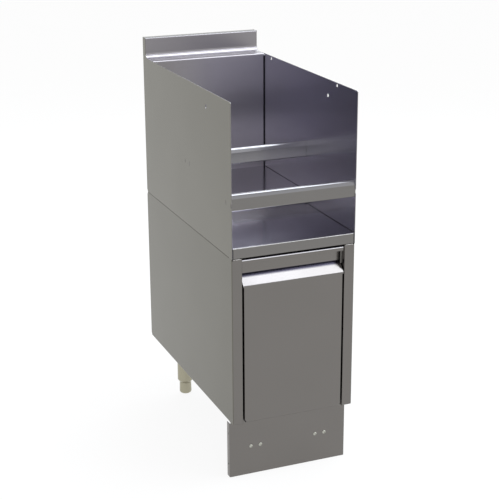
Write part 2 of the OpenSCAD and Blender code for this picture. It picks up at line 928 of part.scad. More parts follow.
// That pan, before it is drilled
module drawer_liner_pan(half, low, high) {
    union() {
        rise(low + fold_h, high - fold_h) folded([
            [-half + sheet / 2, corner_r + fit],
            [-half + sheet / 2, front_t - sheet / 2],
            [half - sheet / 2, front_t - sheet / 2],
            [half - sheet / 2, corner_r + fit]
        ]);
        span(-half + corner_r, half - corner_r) {
            folded([
                [corner_r + fit, low + sheet / 2],
                [front_t - sheet / 2, low + sheet / 2],
                [front_t - sheet / 2, low + 2 * fold_h]
            ]);
            folded([
                [corner_r + fit, high - sheet / 2],
                [front_t - sheet / 2, high - sheet / 2],
                [front_t - sheet / 2, high - 2 * fold_h]
            ]);
        }
    }
}

// Deep box with a rim folded out along its sides and back
module drawer_box() {
    rim_half = box_half + box_rim;
    from_front() color(inner_steel) difference() {
        drawer_box_body(rim_half);
        at_drawer_screws() screw_hole();
        for (side = [0, 1]) mirror([side, 0, 0]) at_box_screws() screw_hole();
    }
}

// That box, before it is drilled
module drawer_box_body(rim_half) {
    union() {
        along(front_t, box_back) folded([
            [-rim_half, box_top_z - sheet / 2],
            [-box_half + sheet / 2, box_top_z - sheet / 2],
            [-box_half + sheet / 2, box_low_z + sheet / 2],
            [box_half - sheet / 2, box_low_z + sheet / 2],
            [box_half - sheet / 2, box_top_z - sheet / 2],
            [rim_half, box_top_z - sheet / 2]
        ]);
        for (y = [front_t, box_back - sheet])
            block(
                [-box_half + sheet / 2, y, box_low_z + sheet / 2],
                [box_half - sheet / 2, y + sheet, box_top_z]
            );
        block(
            [-rim_half, box_back - sheet, box_top_z - sheet],
            [rim_half, box_back + box_rim, box_top_z]
        );
    }
}

// Rubber stops that meet the upturned front edge of the cabinet's bottom
module drawer_bumpers() {
    stop_t = pan_front - front_t - fit;
    stop_d = pan_h - 2 * sheet - 2 * corner_r / 3;
    from_front() color(rubber_black)
        for (x = [-1, 1])
            translate([x * leg_x, front_t, pan_z + pan_h - stop_d / 2 - sheet])
                rotate([-90, 0, 0]) cylinder(d = stop_d, h = stop_t);
}

// A screw or bolt with a domed head at the origin and its shank along +Z
module screw(d, head_d, head_h, l) {
    drive = head_d * 0.42;
    cylinder(d = d, h = l);
    difference() {
        intersection() {
            translate([0, 0, -head_h]) cylinder(d = head_d, h = head_h);
            translate([0, 0, head_d * 0.6 - head_h]) sphere(head_d * 0.6, $fn = 64);
        }
        translate([0, 0, -head_h - overrun]) linear_extrude(overrun + head_h / 2) hexagon(drive);
    }
}

// A sheet-metal screw, and the hole it passes through
module sheet_screw(l) {
    screw(screw_d, screw_head_d, screw_head_h, l);
}

module screw_hole() {
    translate([0, 0, -overrun]) cylinder(d = screw_d + 2 * running, h = 4 * overrun);
}

// A nut on a shank along +Z, with its bore left free
module nut(d, h) {
    difference() {
        linear_extrude(h) hexagon(5 * d / 3);
        translate([0, 0, -overrun]) cylinder(d = d + 2 * running, h = h + 2 * overrun);
    }
}

// Places of the screws from inside the drawer box into the liner
module at_drawer_screws() {
    for (x = [-1, 1], part = [1, 3, 5])
        translate([x * box_half * 0.65, front_t + sheet, box_low_z + box_h * part / 6])
            rotate([90, 0, 0]) children();
}

// Places of the screws from behind the left bracket into the outer member
module at_bracket_screws() {
    for (part = [0.1, 0.5, 0.9])
        translate([-bracket_x - sheet, slide_y + slide_l * part, slide_z]) rotate([0, 90, 0]) children();
}

// Places of the screws from inside the drawer box into the left inner member
module at_box_screws() {
    for (part = [0.1, 0.5, 0.9])
        translate([-box_half + sheet, slide_y + slide_l * part, slide_z]) rotate([0, -90, 0]) children();
}

// Places of the screws up through the seam on the left
module at_seam_screws() {
    for (part = [0.2, 0.5, 0.78])
        translate([-inner_w + flange_w / 2, body_d * part, seam_z - sheet]) children();
}

module drawer_screws() {
    from_front() color(slide_steel) at_drawer_screws() sheet_screw(3 * sheet);
}

module bracket_screws() {
    from_front() color(slide_steel)
        for (side = [0, 1]) mirror([side, 0, 0]) at_bracket_screws() sheet_screw(sheet + gauge);
}

module inner_member_screws() {
    from_front() color(slide_steel)
        for (side = [0, 1]) mirror([side, 0, 0]) at_box_screws() sheet_screw(sheet + gauge);
}

module seam_screws() {
    from_front() color(slide_steel)
        for (side = [0, 1]) mirror([side, 0, 0]) at_seam_screws() sheet_screw(4 * sheet);
}

// Legs

// Plate and collar bolted under the cabinet, at one corner
module leg_socket(at) {
    bore_r = leg_d / 2 + running;
    from_front() color(leg_steel) translate([at[0], at[1], socket_z]) difference() {
        union() {
            linear_extrude(socket_t) rounded(socket_w, socket_w, bolt_head_d);
            translate([0, 0, -collar_h]) cylinder(r = bore_r + socket_t, h = collar_h + socket_t / 2);
            translate([0, 0, -socket_t])
                cylinder(r1 = bore_r + socket_t, r2 = bore_r + 2 * socket_t, h = socket_t);
        }
        translate([0, 0, -collar_h - overrun]) cylinder(r = bore_r, h = collar_h + overrun);
        for (x = [-1, 1], y = [-1, 1])
            translate([x * socket_bolt_at, y * socket_bolt_at, -socket_t - overrun])
                cylinder(d = bolt_d + 2 * fit, h = 2 * socket_t + 2 * overrun);
        rotate([0, 0, at[0] > 0 ? 180 : 0]) translate([0, 0, -collar_h / 2]) rotate([0, 90, 0])
            cylinder(d = bolt_d + 2 * running, h = bore_r + 2 * socket_t);
    }
}

module leg_tube(at) {
    from_front() color(leg_steel) translate([at[0], at[1], tube_z]) difference() {
        cylinder(d = leg_d, h = socket_z - tube_z);
        translate([0, 0, -overrun]) cylinder(d = leg_d - 2 * leg_wall, h = socket_z - tube_z + 2 * overrun);
    }
}

// Tapered plug that closes the tube and takes the foot's stem
module leg_insert(at) {
    plug_r = leg_d / 2 - leg_wall - running;
    bore_r = stem_d / 2 + running;
    from_front() color(leg_steel) translate([at[0], at[1], insert_z]) rotate_extrude() polygon([
        [bore_r, 0],
        [foot_top_d / 2, 0],
        [leg_d / 2, taper_h],
        [plug_r, taper_h],
        [plug_r, plug_h],
        [bore_r, plug_h]
    ]);
}

// Bullet foot on a stem that screws up into the plug
module foot(at) {
    round_r = foot_d / 5;
    from_front() color(leg_steel) translate([at[0], at[1], 0]) rotate_extrude() polygon(concat(
        [[0, 0]],
        arc_points([foot_d / 2 - round_r, round_r], round_r, -90, 0),
        [
            [foot_top_d / 2, foot_h - sheet / 2],
            [foot_top_d / 2 - sheet / 2, foot_h],
            [stem_d / 2, foot_h],
            [stem_d / 2, foot_h + stem_l - sheet],
            [stem_d / 2 - sheet, foot_h + stem_l],
            [0, foot_h + stem_l]
        ]
    ));
}

// Bolts up through the socket plates and the cabinet's bottom, with their nuts
module socket_bolts() {
    nut_h = 0.8 * bolt_d;
    from_front() color(slide_steel)
        for (at = corners, x = [-1, 1], y = [-1, 1])
            translate([at[0] + x * socket_bolt_at, at[1] + y * socket_bolt_at, socket_z]) {
                screw(bolt_d, bolt_head_d, bolt_head_h, socket_t + 2 * sheet + nut_h);
                translate([0, 0, socket_t + sheet]) nut(bolt_d, nut_h);
            }
}

// Screws that hold each leg in its collar, on the side towards the middle
module socket_set_screws() {
    from_front() color(slide_steel)
        for (at = corners)
            translate([at[0], at[1], socket_z - collar_h / 2]) rotate([0, 0, at[0] > 0 ? 180 : 0])
                translate([leg_d / 2 + 2 * running, 0, 0]) rotate([0, 90, 0]) difference() {
                    cylinder(d = bolt_d, h = 2 * socket_t);
                    translate([0, 0, socket_t]) linear_extrude(2 * socket_t) hexagon(bolt_d / 2);
                }
}

// The kick plate

// Plate with its ends and its top edge folded back
module kick_plate() {
    hole_d = bolt_d + 2 * fit;
    from_front() color(front_steel) difference() {
        union() {
            rise(kick_low, kick_top_z - fold_h) folded([
                [-kick_half + sheet / 2, kick_y + kick_return],
                [-kick_half + sheet / 2, kick_y + sheet / 2],
                [kick_half - sheet / 2, kick_y + sheet / 2],
                [kick_half - sheet / 2, kick_y + kick_return]
            ]);
            span(-kick_half + corner_r, kick_half - corner_r) folded([
                [kick_y + sheet / 2, kick_top_z - 2 * fold_h],
                [kick_y + sheet / 2, kick_top_z - sheet / 2],
                [kick_y + lip_return, kick_top_z - sheet / 2]
            ]);
        }
        for (leg = [-1, 1], bolt = [-1, 1])
            translate([leg * leg_x + bolt * kick_bolt_gap / 2, kick_y - overrun, kick_bolt_z])
                rotate([-90, 0, 0]) cylinder(d = hole_d, h = sheet + 2 * overrun);
        for (side = [-1, 1], z = [kick_top_z * 0.24, kick_top_z * 0.77])
            translate([side * kick_half, kick_y + kick_return / 2, z])
                rotate([0, 90, 0]) cylinder(d = screw_d, h = 4 * sheet, center = true);
    }
}

// Spring clip round a front leg, on a pad behind the kick plate
module kick_clip(leg) {
    pad_y = kick_y + sheet - leg_front_y;
    mouth = 2 * clip_r;
    nut_h = 4 * clip_t;
    from_front() color(slide_steel) translate([leg * leg_x, leg_front_y, kick_bolt_z]) difference() {
        union() {
            rise(-clip_h / 2, clip_h / 2) {
                difference() {
                    circle(clip_r + clip_t);
                    circle(clip_r);
                    polygon([[0, 0], [-clip_r / 1.6, mouth], [clip_r / 1.6, mouth]]);
                }
                translate([-clip_r, pad_y]) square([2 * clip_r, clip_t]);
                difference() {
                    for (side = [-1, 1])
                        translate([side * (clip_web_x + clip_t / 2) - clip_t / 2, pad_y])
                            square([clip_t, -pad_y]);
                    circle(clip_r);
                }
            }
            for (bolt = [-1, 1])
                translate([bolt * kick_bolt_gap / 2, pad_y + clip_t, 0]) rotate([-90, 0, 0])
                    linear_extrude(nut_h) circle(d = 0.8 * bolt_head_d);
        }
        for (bolt = [-1, 1])
            translate([bolt * kick_bolt_gap / 2, pad_y - overrun, 0]) rotate([-90, 0, 0])
                cylinder(d = bolt_d + 2 * running, h = clip_t + nut_h + 2 * overrun);
    }
}

module left_kick_clip() {
    kick_clip(-1);
}

module right_kick_clip() {
    kick_clip(1);
}

module kick_bolts() {
    from_front() color(leg_steel)
        for (leg = [-1, 1], bolt = [-1, 1])
            translate([leg * leg_x + bolt * kick_bolt_gap / 2, kick_y, kick_bolt_z])
                rotate([-90, 0, 0]) screw(bolt_d, bolt_head_d, bolt_head_h, sheet + 5 * clip_t);
}

// Places of the rivets through the back panel's foot into the shelf, in the pipe space
module at_chase_rivets() {
    for (part = [-0.6, -0.2, 0.2, 0.6])
        translate([part * inner_w, back_y + flange_w * 0.6, shelf_z + sheet]) rotate([180, 0, 0]) children();
}

module chase_rivets() {
    from_front() color(slide_steel) at_chase_rivets() {
        cylinder(d = screw_d, h = 3 * sheet);
        intersection() {
            translate([0, 0, -screw_head_h / 2]) cylinder(d = screw_head_d, h = screw_head_h / 2);
            translate([0, 0, 0.9 * screw_head_d - screw_head_h / 2]) sphere(0.9 * screw_head_d, $fn = 64);
        }
    }
}

bay_left_side();
bay_right_side();
back_splash();
shelf();
rear_step();
lower_rail();
upper_rail();
cabinet_left_side();
cabinet_right_side();
cabinet_back();
cabinet_bottom();
front_header();
rear_header();
left_slide_bracket();
right_slide_bracket();
left_outer_member();
right_outer_member();
left_middle_member();
right_middle_member();
left_inner_member();
right_inner_member();
left_outer_cage();
right_outer_cage();
left_inner_cage();
right_inner_cage();
left_outer_balls();
right_outer_balls();
left_inner_balls();
right_inner_balls();
drawer_front();
drawer_liner();
drawer_box();
drawer_bumpers();
drawer_screws();
leg_socket(front_left);  // leg_socket_front_left
leg_socket(front_right);  // leg_socket_front_right
leg_socket(rear_left);  // leg_socket_rear_left
leg_socket(rear_right);  // leg_socket_rear_right
leg_tube(front_left);  // leg_tube_front_left
leg_tube(front_right);  // leg_tube_front_right
leg_tube(rear_left);  // leg_tube_rear_left
leg_tube(rear_right);  // leg_tube_rear_right
leg_insert(front_left);  // leg_insert_front_left
leg_insert(front_right);  // leg_insert_front_right
leg_insert(rear_left);  // leg_insert_rear_left
leg_insert(rear_right);  // leg_insert_rear_right
foot(front_left);  // foot_front_left
foot(front_right);  // foot_front_right
foot(rear_left);  // foot_rear_left
foot(rear_right);  // foot_rear_right
kick_plate();
left_kick_clip();
right_kick_clip();
kick_bolts();
socket_bolts();
socket_set_screws();
bracket_screws();
inner_member_screws();
seam_screws();
chase_rivets();
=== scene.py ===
# %% [markdown]
# # Underbar unit in brushed stainless steel
# The unit is bent sheet steel from top to bottom: an open bottle bay with two rails and a
# splash, over a cabinet with one deep drawer, on tube legs with a kick plate. Every bend,
# hem and hole is already a solid in the imported model, so this lesson makes no new shapes.
# It gives each piece the finish that its steel, zinc or rubber really has, with some light and
# shade painted into the steel, and then lights and frames the unit as a catalogue picture does.

# %% Load the imported model
import math

import bpy
from mathutils import Matrix, Vector


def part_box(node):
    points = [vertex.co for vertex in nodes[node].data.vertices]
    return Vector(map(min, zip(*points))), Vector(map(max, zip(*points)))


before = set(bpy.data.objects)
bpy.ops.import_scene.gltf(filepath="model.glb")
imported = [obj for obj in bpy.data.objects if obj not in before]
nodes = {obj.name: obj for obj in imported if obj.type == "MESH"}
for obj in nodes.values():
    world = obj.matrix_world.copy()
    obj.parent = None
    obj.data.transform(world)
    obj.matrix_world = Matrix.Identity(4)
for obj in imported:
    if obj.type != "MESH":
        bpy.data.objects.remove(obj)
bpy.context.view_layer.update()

# %% [markdown]
# ## Colour and node helpers
# Blender works in linear light, while a colour read off a screen is sRGB, so one function
# turns a hex colour into the linear numbers that a shader takes. A second one adds a node,
# sets its properties, and links or fills its inputs, which keeps each material a short list
# of steps.


# %% Colour and node helpers
def linear(hex_colour):
    channels = [int(hex_colour[k:k + 2], 16) / 255 for k in (1, 3, 5)]
    low = [c / 12.92 if c <= 0.04045 else ((c + 0.055) / 1.055) ** 2.4 for c in channels]
    return (*low, 1.0)


def darker(colour, share):
    return (*[channel * share for channel in colour[:3]], 1.0)


def add(tree, kind, inputs=None, **settings):
    node = tree.nodes.new(kind)
    for name, value in settings.items():
        setattr(node, name, value)
    for name, value in (inputs or {}).items():
        if isinstance(value, bpy.types.NodeSocket):
            tree.links.new(value, node.inputs[name])
        else:
            node.inputs[name].default_value = value
    return node


def new_material(name):
    material = bpy.data.materials.new(name)
    material.use_nodes = True
    tree = material.node_tree
    shader = next(node for node in tree.nodes if node.type == "BSDF_PRINCIPLED")
    return material, tree, shader


def finish(material, *names):
    for name in names:
        slots = nodes[name].data.materials
        slots.clear()
        slots.append(material)
    print(material.name, "on", len(names), "pieces")


print("mid grey #808080 is linear", round(linear("#808080")[0], 3))

# %% [markdown]
# ## The marks of brushing
# Stainless sheet comes from the mill with a No. 4 finish: a belt of grit has drawn fine
# lines along the sheet. The real lines are about 0.1 mm apart, too fine for this picture,
# so they are drawn 1.2 mm apart. A noise squeezed along the grain makes the lines, and a
# slow one makes the clouds where the belt bore harder. A wider range of either would look
# like wood, so both stay within a few hundredths. Most values of a noise lie between 0.3
# and 0.7, and one function stretches that range to the two levels that are wanted.

# %% Noise for grain and clouds
GRAIN_PITCH = 0.0012
GRAIN_LENGTH = 0.09
CLOUD_SIZE = 0.14
AXES = {"x": 0, "y": 1, "z": 2}
NOISE_LOW, NOISE_HIGH = 0.3, 0.7


def grain_lines(tree, grain):
    scale = [1 / GRAIN_PITCH] * 3
    scale[AXES[grain]] = 1 / GRAIN_LENGTH
    place = add(tree, "ShaderNodeTexCoord").outputs["Object"]
    lines = add(tree, "ShaderNodeMapping", {"Vector": place, "Scale": scale}).outputs["Vector"]
    noise = {"Vector": lines, "Scale": 1.0, "Detail": 3.0}
    return add(tree, "ShaderNodeTexNoise", noise).outputs["Fac"]


def clouds(tree, size):
    place = add(tree, "ShaderNodeTexCoord").outputs["Object"]
    noise = {"Vector": place, "Scale": 1 / size, "Detail": 4.0}
    return add(tree, "ShaderNodeTexNoise", noise).outputs["Fac"]


def between(tree, noise, low, high):
    ends = {"From Min": NOISE_LOW, "From Max": NOISE_HIGH, "To Min": low, "To Max": high}
    return add(tree, "ShaderNodeMapRange", {"Value": noise, **ends}).outputs["Result"]


def blend_colours(tree, share, first, second):
    return add(tree, "ShaderNodeMix", {0: share, 6: first, 7: second}, data_type="RGBA").outputs[2]


print("grain lines every", GRAIN_PITCH * 1000, "mm, clouds about", CLOUD_SIZE * 1000, "mm")

# %% [markdown]
# ## Zones of a sheet
# One bent sheet doesn't look the same all over. Inside the bay its faces see each other,
# a hem or a fold turns another way, and shade gathers where two sheets meet. The zones
# paint that light and shade into the colour. Each such zone is a list of limits: an axis,
# and the two places between which the share of the zone's tone grows from none to full.
# The shares of all limits are multiplied. Limits are in the piece's own metres, so a zone
# stays on its sheet when the drawer moves.

# %% Share of a zone
def zone_share(tree, limits):
    place = add(tree, "ShaderNodeTexCoord").outputs["Object"]
    along = add(tree, "ShaderNodeSeparateXYZ", {0: place}).outputs
    share = 1.0
    for axis, start, end in limits:
        value = along[axis[-1]]
        if axis == "half X":
            value = add(tree, "ShaderNodeMath", {0: value}, operation="ABSOLUTE").outputs[0]
        ends = {"Value": value, "From Min": start, "From Max": end}
        within = add(tree, "ShaderNodeMapRange", ends).outputs["Result"]
        share = add(tree, "ShaderNodeMath", {0: share, 1: within}, operation="MULTIPLY").outputs[0]
    return share


# %% [markdown]
# ## Brushed stainless steel
# Chromium steel reflects about a third to a half of the light and has almost no colour. It
# is a metal, so metallic is 1 and the IOR stays at its default. No. 4 brushing gives a
# roughness of 0.2 to 0.3: reflections are soft, but a bright bend still draws a line. The
# brush lines move the colour a little, and the clouds the colour and the roughness. The
# bevel rounds the sheet's cut edges by 0.4 mm, as deburring does, so they catch the light.
#
# The render's noise filter treats a metal as a mirror below a roughness of 0.274. A sheet
# whose clouds cross that value would show their outline, so none of the sheets does.

# %% Brushed stainless steel
DEBURR = 0.0004
BRUSH_DEPTH = 0.000008
BRUSH_STRENGTH = 0.05
STREAK = 0.98
CLOUD_SHADE = 0.02
CLOUD_ROUGHNESS = 0.015
BLACK = (0.0, 0.0, 0.0, 1.0)


def streaked(tree, streak, steel_hex):
    steel = linear(steel_hex)
    return blend_colours(tree, streak, darker(steel, STREAK), steel)


def brushed_steel(name, steel_hex, grain, roughness, *zones):
    material, tree, shader = new_material(name)
    lines = grain_lines(tree, grain)
    cloud = clouds(tree, CLOUD_SIZE)
    streak = between(tree, lines, 0.0, 1.0)
    colour = streaked(tree, streak, steel_hex)
    for limits, zone_hex in zones:
        tone = streaked(tree, streak, zone_hex)
        colour = blend_colours(tree, zone_share(tree, limits), colour, tone)
    clouded = blend_colours(tree, between(tree, cloud, 0.0, CLOUD_SHADE), colour, BLACK)
    rough = between(tree, cloud, roughness - CLOUD_ROUGHNESS, roughness + CLOUD_ROUGHNESS)
    edge = add(tree, "ShaderNodeBevel", {"Radius": DEBURR}, samples=4).outputs["Normal"]
    relief = {"Height": lines, "Strength": BRUSH_STRENGTH, "Distance": BRUSH_DEPTH, "Normal": edge}
    bump = add(tree, "ShaderNodeBump", relief)
    shader.inputs["Metallic"].default_value = 1.0
    tree.links.new(clouded, shader.inputs["Base Color"])
    tree.links.new(rough, shader.inputs["Roughness"])
    tree.links.new(bump.outputs["Normal"], shader.inputs["Normal"])
    return material


print("deburred edge", DEBURR * 1000, "mm")

# %% [markdown]
# ## Where the zones lie
# The places come from the boxes of the pieces themselves, and from the sheet's thickness.
# Inside the bay the sides are painted cooler and lighter, and paler still low down: painted
# light. The floor of the bay is painted darker to the right, a painted shade, and the splash
# paler there, a painted light that stops at the ledge. Painted shade lines run where floor,
# step and back meet the sides. The slanted band of the lower rail is a little bluer than its
# wall, a painted reflection. Thin zones follow the folded edges: painted shade on top of the
# splash's hem and in the fold of the pull, and painted highlights along the foot of the lower
# rail and the top of the header. The pull's slope faces the lamp overhead, so its tone is set
# by itself, and is painted darker to the right, where the lamp is stronger.

# %% Places
SHEET = 0.0012
SIDE_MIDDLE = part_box("bay_right_side")[1][0] - SHEET / 2
SIDE_SKIN = SIDE_MIDDLE - SHEET / 3
REAR_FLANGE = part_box("bay_right_side")[1][1] - 2 * SHEET
PAINTED_LIGHT_TOP, PAINTED_LIGHT_LOW = 0.79, 0.65
LIP_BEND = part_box("shelf")[0][1] + 2 * SHEET
STEP_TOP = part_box("rear_step")[1][2]
LEDGE = 0.9144
COVE_START = LEDGE - 0.003
HEM_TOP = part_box("back_splash")[1][2]
RAIL_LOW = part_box("lower_rail")[0][2]
RAIL_WALL = 0.028
HEADER_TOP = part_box("front_header")[1][2]
PULL_WALL, SLOPE_HEIGHT = 0.0256, 0.0234
PULL_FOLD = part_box("drawer_front")[1][2] - PULL_WALL
SLOPE_LOW = PULL_FOLD - SLOPE_HEIGHT
SHADE_START, SHADE_END = -0.12, 0.02
HALF_FADE = 0.08
print("rail foot", RAIL_LOW, "m, header top", HEADER_TOP, "m, fold of the pull", PULL_FOLD, "m")

# %% Zones of the bay
inner_face = [
    ("half X", SIDE_SKIN + SHEET / 100, SIDE_SKIN),
    ("Y", REAR_FLANGE + SHEET / 2, REAR_FLANGE),
]
# Low down inside the bay the sides are painted paler: painted light.
painted_light_low = [("Z", PAINTED_LIGHT_TOP, PAINTED_LIGHT_LOW)] + inner_face
# The right part of the splash is painted paler: painted light.
splash_right_light = [("X", SHADE_START, SHADE_END)]
# Behind the lip the floor of the bay gets the lighter, violet inner tone: painted light.
behind_lip = [("Y", LIP_BEND, LIP_BEND + SHEET / 2)]
right_half = [("X", -HALF_FADE, HALF_FADE)]
# The floor of the bay is painted darker to the right: painted shade.
shelf_right_shade = behind_lip + right_half
# Dark lines where floor, step and back meet the sides: painted shade.
floor_seam = [("half X", SIDE_MIDDLE - 3 * SHEET, SIDE_MIDDLE - 2 * SHEET)]
step_seam = [
    ("Z", STEP_TOP - 3 * SHEET, STEP_TOP - 2 * SHEET),
    ("half X", SIDE_MIDDLE - 2 * SHEET, SIDE_MIDDLE - 1.4 * SHEET),
]
back_seam = [("Z", LEDGE - SHEET, LEDGE - 2 * SHEET)] + floor_seam
# From the ledge up the splash gets its own tone, in place of the painted light of the right part.
above_ledge = [("Z", COVE_START, COVE_START + SHEET)]
# The top of the splash's hem is painted dark: painted shade.
hem_top_shade = [("Z", HEM_TOP - SHEET, HEM_TOP - SHEET / 3)]
# The slanted band of the lower rail is tinted bluer: painted reflection.
rail_band_reflection = [("Z", RAIL_LOW + RAIL_WALL, RAIL_LOW + RAIL_WALL + SHEET)]
# The foot of the lower rail gets a bright line, fading to the right: painted highlight.
rail_foot_highlight = [("Z", RAIL_LOW + 1.6 * SHEET, RAIL_LOW + 1.2 * SHEET), ("X", 0.0, SHADE_START)]
print("zones of the bay: from", -HALF_FADE, "to", HALF_FADE, "m the floor darkens")

# %% Zones of the header and the pull
below_fold = [("Z", PULL_FOLD + SHEET, PULL_FOLD + SHEET / 2)]
# The top edge of the header gets a bright line: painted highlight.
header_highlight = [("Z", HEADER_TOP - 2.3 * SHEET, HEADER_TOP - 2 * SHEET)]
slope = [("Z", SLOPE_LOW - SHEET, SLOPE_LOW)] + below_fold
# The slope is painted darker to the right, where the lamp is stronger: painted shade.
slope_right_shade = slope + right_half
# The slope's top, in the fold under the pull, is painted dark: painted shade.
fold_shade = [("Z", PULL_FOLD - 7 * SHEET, PULL_FOLD - 4 * SHEET)] + below_fold
print("slope of the pull is", SLOPE_HEIGHT * 1000, "mm high")

# %% [markdown]
# ## Which steel goes where
# The sides are brushed along their length and the fronts across the width, as the sheet is
# turned for each. The base colours of the outer faces are low, since in this bright studio
# they reflect almost nothing but white. The inner faces, and the pieces inside the bay and the
# cabinet, get lighter, slightly violet copies of the steel: painted light for what they
# reflect of each other.

# %% Steels of the bay
# Colour of the painted shade lines in the seams.
SEAM_SHADE = "#2c2b30"
# Colour of the painted highlights on folded edges.
PAINTED_HIGHLIGHT = "#e6e5ea"
# The inner skins of the bay sides are painted lighter and violet: painted light.
side_steel = brushed_steel(
    "side_stainless_brushed_lengthways", "#6b6960", "y", 0.22,
    (inner_face, "#b2b0c0"), (painted_light_low, "#e2e0ea"),
)
shelf_steel = brushed_steel(
    "shelf_stainless_brushed_across", "#797775", "x", 0.20,
    (behind_lip, "#b5b3be"), (shelf_right_shade, "#7e7c88"), (floor_seam, SEAM_SHADE),
)
# The step gets a light steel: painted light inside the bay.
step_steel = brushed_steel(
    "step_stainless_brushed_across", "#cdcacd", "x", 0.14, (step_seam, SEAM_SHADE),
)
splash_steel = brushed_steel(
    "splash_stainless_brushed_across", "#8a8788", "x", 0.292,
    (splash_right_light, "#9f9ca3"), (above_ledge, "#8d8a8d"), (hem_top_shade, "#3a3934"),
    (back_seam, SEAM_SHADE),
)
lip_steel = brushed_steel(
    "lower_rail_stainless_brushed_across", "#7a7876", "x", 0.20,
    (rail_band_reflection, "#79787a"), (rail_foot_highlight, PAINTED_HIGHLIGHT),
)
rail_steel = brushed_steel("rail_stainless_brushed_across", "#838285", "x", 0.20)
finish(side_steel, "bay_left_side", "bay_right_side")
finish(shelf_steel, "shelf")
finish(step_steel, "rear_step")
finish(splash_steel, "back_splash")
finish(lip_steel, "lower_rail")
finish(rail_steel, "upper_rail")

# %% Steels of the cabinet and the drawer
# The cabinet's inner skins are painted lighter too: painted light.
folded_steel = brushed_steel(
    "cabinet_stainless_brushed_lengthways", "#65635a", "y", 0.22, (inner_face, "#777471"),
)
front_steel = brushed_steel(
    "front_stainless_brushed_across", "#777471", "x", 0.20, (header_highlight, PAINTED_HIGHLIGHT),
)
pull_steel = brushed_steel(
    "pull_stainless_brushed_across", "#777471", "x", 0.20,
    (slope, "#7e7b7a"), (slope_right_shade, "#706d6b"), (fold_shade, "#302e38"),
)
sheet_steel = brushed_steel("sheet_stainless_brushed_across", "#7a7876", "x", 0.20)
# The inner pieces get a lighter, violet steel: painted light.
inner_steel = brushed_steel("inner_stainless_brushed_across", "#a8a6b0", "x", 0.20)
box_steel = brushed_steel("box_stainless_brushed_lengthways", "#a09fa6", "y", 0.34)
finish(folded_steel, "cabinet_left_side", "cabinet_right_side")
finish(front_steel, "front_header", "kick_plate")
finish(pull_steel, "drawer_front")
finish(sheet_steel, "cabinet_back")
finish(inner_steel, "cabinet_bottom", "rear_header", "drawer_liner")
finish(box_steel, "drawer_box", "left_slide_bracket", "right_slide_bracket")

# %% Steels of the legs and the bolts
LEGS = ["front_left", "front_right", "rear_left", "rear_right"]
LEG_PARTS = ["leg_socket", "leg_tube", "leg_insert", "foot"]
leg_steel = brushed_steel("leg_stainless_brushed_upright", "#a5a18e", "z", 0.30)
bolt_steel = brushed_steel("bolt_stainless_turned", "#aeaea6", "z", 0.24)
finish(leg_steel, *[part + "_" + leg for leg in LEGS for part in LEG_PARTS])
finish(bolt_steel, "kick_bolts")

# %% [markdown]
# ## Zinc, bearing balls and rubber
# Drawer slides are rolled from mild steel and then zinc plated: a pale, slightly blue metal
# with a faint spangle of crystals a few millimetres across. The screws have the same zinc.
# Bearing balls are polished, so only their reflections show. The bumpers are black nitrile
# rubber, which is no metal: it has a broad, weak sheen and a fine moulded grain.

# %% Zinc plated steel
SPANGLE = 0.004
SPANGLE_SHADE = 0.86
SMOOTHER, ROUGHER = 0.05, 0.07


def zinc_plate(name, zinc_hex, roughness):
    material, tree, shader = new_material(name)
    zinc = linear(zinc_hex)
    place = add(tree, "ShaderNodeTexCoord").outputs["Object"]
    cells = add(tree, "ShaderNodeTexVoronoi", {"Vector": place, "Scale": 1 / SPANGLE})
    crystal = cells.outputs["Distance"]
    share = between(tree, crystal, 0.0, 1.0)
    colour = blend_colours(tree, share, zinc, darker(zinc, SPANGLE_SHADE))
    rough = between(tree, crystal, roughness - SMOOTHER, roughness + ROUGHER)
    edge = add(tree, "ShaderNodeBevel", {"Radius": DEBURR / 2}, samples=4).outputs["Normal"]
    shader.inputs["Metallic"].default_value = 1.0
    tree.links.new(colour, shader.inputs["Base Color"])
    tree.links.new(rough, shader.inputs["Roughness"])
    tree.links.new(edge, shader.inputs["Normal"])
    return material


SIDES = ["left", "right"]
slide_zinc = zinc_plate("zinc_plated_slide_steel", "#b9bcc2", 0.34)
screw_zinc = zinc_plate("zinc_plated_screw_steel", "#aeb0b5", 0.30)
SLIDE_PARTS = ["outer_member", "middle_member", "inner_member", "outer_cage", "inner_cage"]
finish(slide_zinc, *[side + "_" + part for side in SIDES for part in SLIDE_PARTS])
finish(
    screw_zinc, "drawer_screws", "bracket_screws", "inner_member_screws", "seam_screws",
    "chase_rivets", "socket_bolts", "socket_set_screws", "left_kick_clip", "right_kick_clip",
)

# %% Polished balls
POLISH_WAVE = 0.002
ball_chrome, tree, shader = new_material("bearing_ball_chrome_steel")
haze = clouds(tree, POLISH_WAVE)
hazy = blend_colours(tree, haze, linear("#c9cacd"), linear("#bdbec3"))
shader.inputs["Metallic"].default_value = 1.0
tree.links.new(hazy, shader.inputs["Base Color"])
tree.links.new(between(tree, haze, 0.06, 0.14), shader.inputs["Roughness"])
BALL_ROWS = ["outer_balls", "inner_balls"]
finish(ball_chrome, *[side + "_" + row for side in SIDES for row in BALL_ROWS])

# %% Moulded rubber
MOULD_GRAIN = 0.0006
bumper_rubber, tree, shader = new_material("moulded_nitrile_rubber")
pits = clouds(tree, MOULD_GRAIN)
pit_relief = {"Height": pits, "Strength": 0.3, "Distance": MOULD_GRAIN / 10}
pitted = add(tree, "ShaderNodeBump", pit_relief)
black_rubber = blend_colours(tree, pits, linear("#1b1b1c"), linear("#262627"))
tree.links.new(black_rubber, shader.inputs["Base Color"])
tree.links.new(pitted.outputs["Normal"], shader.inputs["Normal"])
shader.inputs["Roughness"].default_value = 0.72
finish(bumper_rubber, "drawer_bumpers")

